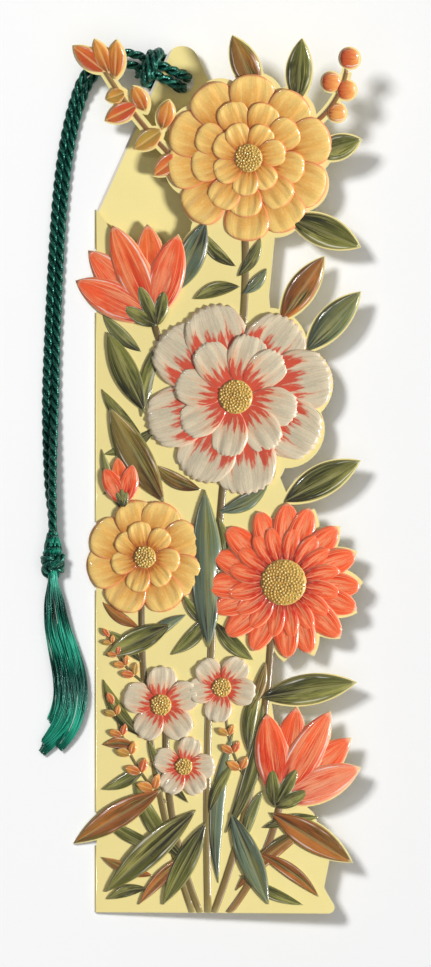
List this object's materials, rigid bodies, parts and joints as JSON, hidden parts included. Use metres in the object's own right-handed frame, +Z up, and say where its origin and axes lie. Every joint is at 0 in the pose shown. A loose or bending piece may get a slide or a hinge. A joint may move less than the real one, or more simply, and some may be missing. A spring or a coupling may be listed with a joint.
{
  "type": "bookmark",
  "caption": "Folded die-cut bookmark of coated card with an embossed flower face, a punched tab, a looped twisted cord and a knotted tassel.",
  "frame": {"origin": "on the underside of the back leaf, on the tag's centre line and at half the card's height", "axes": "+Z up from the table through both leaves, +Y along the card towards the punched tab, +X from the fold towards the open edge"},
  "size_m": [0.0648, 0.1747, 0.0148],
  "materials": {
    "card": "gloss coated",
    "amber_print": "gloss coated",
    "cream_print": "gloss coated",
    "coral_print": "gloss coated",
    "leaf_print": "gloss coated",
    "stem_print": "gloss coated",
    "cord": "satin",
    "fringe": "satin"
  },
  "bodies": {
    "back": {"back_leaf": "card", "fold_crease": "card"},
    "front": {"front_leaf": "card", "amber_blooms": "amber_print", "cream_blooms": "cream_print", "coral_blooms": "coral_print", "leaf_sprays": "leaf_print", "flower_stems": "stem_print", "berry_beads": "coral_print"},
    "cord": {"cord_hitch": "cord", "cord_strand_outer": "cord", "cord_strand_inner": "cord", "tassel_knot": "cord"},
    "tassel": {"tassel_fringe": "fringe"}
  },
  "joints": [
    {"name": "leaf_fold", "type": "hinge", "parent": "back", "child": "front", "pos_m": [-0.017, 0, 0.0005], "axis": [0, -1, 0], "range_deg": [0, 80], "deforming": ["fold_crease"]},
    {"name": "cord_swing", "type": "hinge", "parent": "back", "child": "cord", "pos_m": [0, 0.0786, 0.0032], "axis": [0, 0, 1], "range_deg": [-12, 0]},
    {"name": "tassel_swing", "type": "hinge", "parent": "cord", "child": "tassel", "pos_m": [-0.0258, -0.02142, 0.00245], "axis": [0, 0, 1], "range_deg": [-60, 0]}
  ]
}
